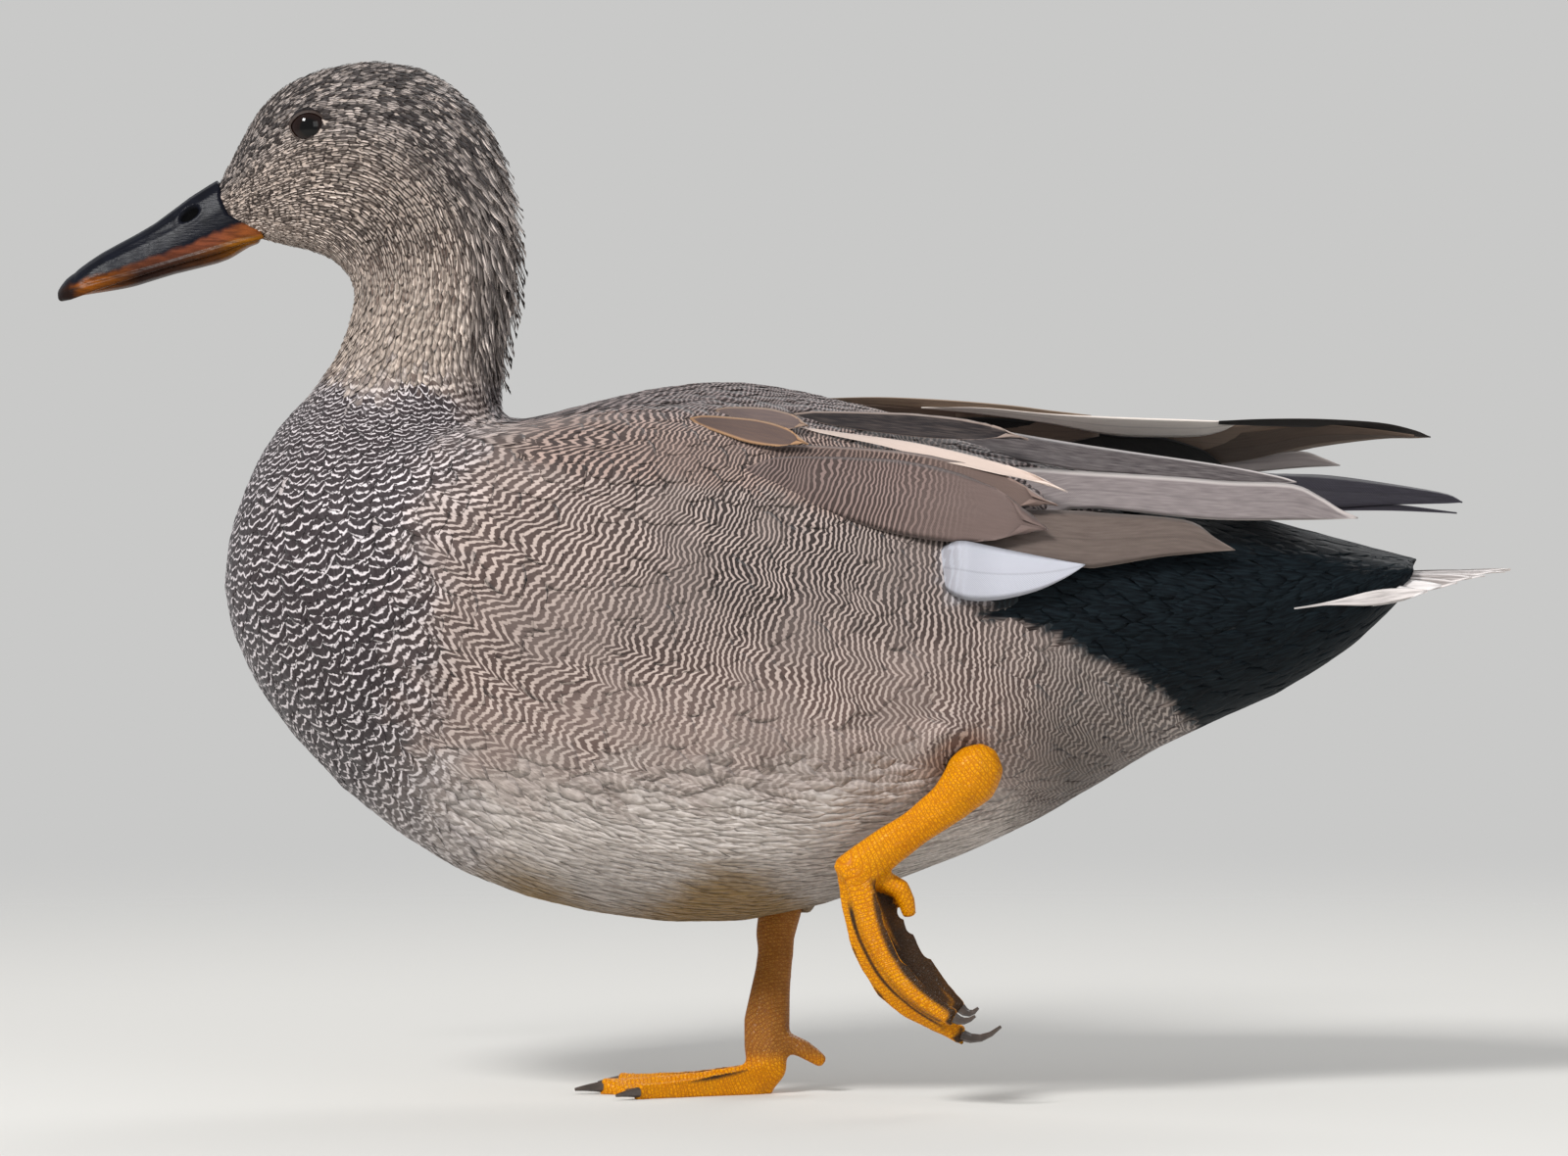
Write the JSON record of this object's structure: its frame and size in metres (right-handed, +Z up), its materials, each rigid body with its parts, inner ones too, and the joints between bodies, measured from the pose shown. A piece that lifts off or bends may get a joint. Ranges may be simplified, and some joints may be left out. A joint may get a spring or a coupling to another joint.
{
  "type": "gadwall duck",
  "caption": "Life-size still model of a standing drake gadwall duck, body in lofted lengths, folded wings, one leg lifted, flat sole to stand on.",
  "frame": {"origin": "on the floor under the middle of the bird's bounding box, level with the standing foot's sole", "axes": "+X from bill to tail, so the bird faces -X; +Y towards the bird's right side; +Z up"},
  "size_m": [0.3411, 0.109, 0.2435],
  "materials": {
    "head_feathers": "small buff feathers with fine dark specks",
    "neck_feathers": "small cream feathers with fine dark bars",
    "body_feathers": "grey-brown feathers, finely waved and scalloped in black and cream, pale on the belly",
    "stern_feathers": "black feathers with a faint green-blue sheen",
    "wing_feathers": "grey-brown coverts and scapulars with pale edges",
    "flight_feathers": "smooth grey-brown vanes with paler edges",
    "white_feathers": "white vanes",
    "tail_feathers": "pale brown vanes with whitish edges",
    "bill": "blue-black horn, satin",
    "bill_edge": "reddish orange horn, satin",
    "eye": "wet near-black brown",
    "leg": "orange scaled skin with dusky webs, satin",
    "claw": "dark horn"
  },
  "bodies": {
    "root": {"bill_lower": "bill_edge", "bill_upper": "bill", "claw_inner_left": "claw", "claw_inner_right": "claw", "claw_middle_left": "claw", "claw_middle_right": "claw", "claw_outer_left": "claw", "claw_outer_right": "claw", "eye_left": "eye", "eye_right": "eye", "foot_left": "leg", "foot_right": "leg", "head": "head_feathers", "hind_toe_left": "leg", "hind_toe_right": "leg", "neck": "neck_feathers", "primaries_left": "flight_feathers", "primaries_right": "flight_feathers", "rump": "stern_feathers", "speculum_left": "white_feathers", "speculum_right": "white_feathers", "tail": "tail_feathers", "tarsus_left": "leg", "tarsus_right": "leg", "tertial_lower_left": "flight_feathers", "tertial_lower_right": "flight_feathers", "tertial_middle_left": "flight_feathers", "tertial_middle_right": "flight_feathers", "tertial_upper_left": "flight_feathers", "tertial_upper_right": "flight_feathers", "thigh_left": "body_feathers", "thigh_right": "body_feathers", "trunk": "body_feathers", "wing_left": "wing_feathers", "wing_right": "wing_feathers"}
  },
  "joints": []
}
